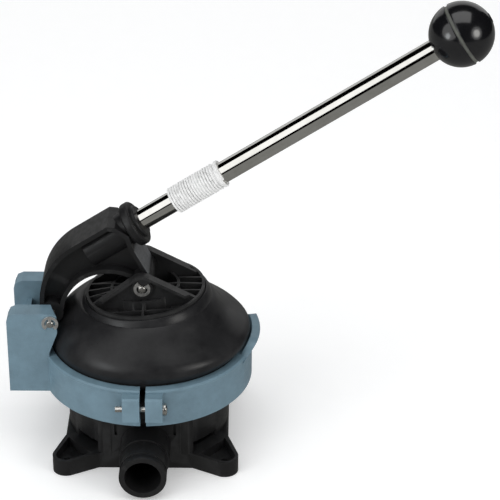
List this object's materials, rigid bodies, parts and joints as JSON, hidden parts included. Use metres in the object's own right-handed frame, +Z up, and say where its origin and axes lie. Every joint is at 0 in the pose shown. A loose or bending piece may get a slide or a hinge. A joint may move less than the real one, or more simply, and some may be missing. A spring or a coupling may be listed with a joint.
{
  "type": "manual bilge pump",
  "caption": "Hand-operated diaphragm pump: ribbed plate on a rubber dome, clamp ring with fulcrum bracket, hooked lever with ball handle, hose tails front and back.",
  "frame": {"origin": "centre of the deck-bolt rectangle, on the underside of the body", "axes": "+Z up out of the deck, +X towards the handle's ball, -Y out of the outlet port"},
  "size_m": [0.3781, 0.216, 0.3815],
  "materials": {
    "black_plastic": "satin moulded",
    "blue_plastic": "satin moulded",
    "rubber": "smooth, slight sheen",
    "steel": "bright zinc or stainless",
    "polished_steel": "polished stainless",
    "brass": "turned",
    "cord": "twisted white cord, wound close",
    "knob_black": "polished",
    "knob_band": "satin",
    "plug_plastic": "moulded"
  },
  "bodies": {
    "pump": {"pump_body": "black_plastic", "outlet_hose_tail": "black_plastic", "inlet_hose_tail": "black_plastic", "outlet_o_ring": "rubber", "inlet_o_ring": "rubber", "outlet_valve_seat": "black_plastic", "inlet_valve_seat": "black_plastic", "outlet_flap_pin": "steel", "inlet_flap_pin": "steel", "clamp_ring": "blue_plastic", "clamp_screw": "steel", "clamp_nut": "steel", "diaphragm": "rubber", "fulcrum_pin": "steel", "fulcrum_clips": "steel"},
    "lever_body": {"lever": "black_plastic", "handle_tube": "polished_steel", "handle_whipping": "cord", "tube_plug": "plug_plastic", "knob_stud": "steel", "knob_base": "knob_black", "knob_band": "knob_band", "knob_cap": "knob_black"},
    "plate_body": {"top_plate": "black_plastic", "lower_plate": "black_plastic", "plate_screws": "steel", "plate_inserts": "brass", "plate_pin": "steel", "plate_clips": "steel"},
    "outlet_flap": {"outlet_valve_flap": "rubber"},
    "inlet_flap": {"inlet_valve_flap": "rubber"}
  },
  "joints": [
    {"name": "lever_pivot", "type": "hinge", "parent": "pump", "child": "lever_body", "pos_m": [-0.076, 0, 0.12], "axis": [0, 1, 0], "range_deg": [0, 22], "deforming": ["diaphragm"]},
    {"name": "plate_pivot", "type": "hinge", "parent": "lever_body", "child": "plate_body", "pos_m": [-0.0024, 0, 0.1468], "axis": [0, 1, 0], "range_deg": [-17.2, 0]},
    {"name": "outlet_flap_hinge", "type": "hinge", "parent": "pump", "child": "outlet_flap", "pos_m": [0, -0.0645, 0.0363], "axis": [-1, 0, 0], "range_deg": [0, 35]},
    {"name": "inlet_flap_hinge", "type": "hinge", "parent": "pump", "child": "inlet_flap", "pos_m": [0, 0.0565, 0.0363], "axis": [-1, 0, 0], "range_deg": [0, 35]}
  ],
  "couplings": [
    {"joint": "plate_pivot", "follows": "lever_pivot", "ratio": -0.777}
  ]
}
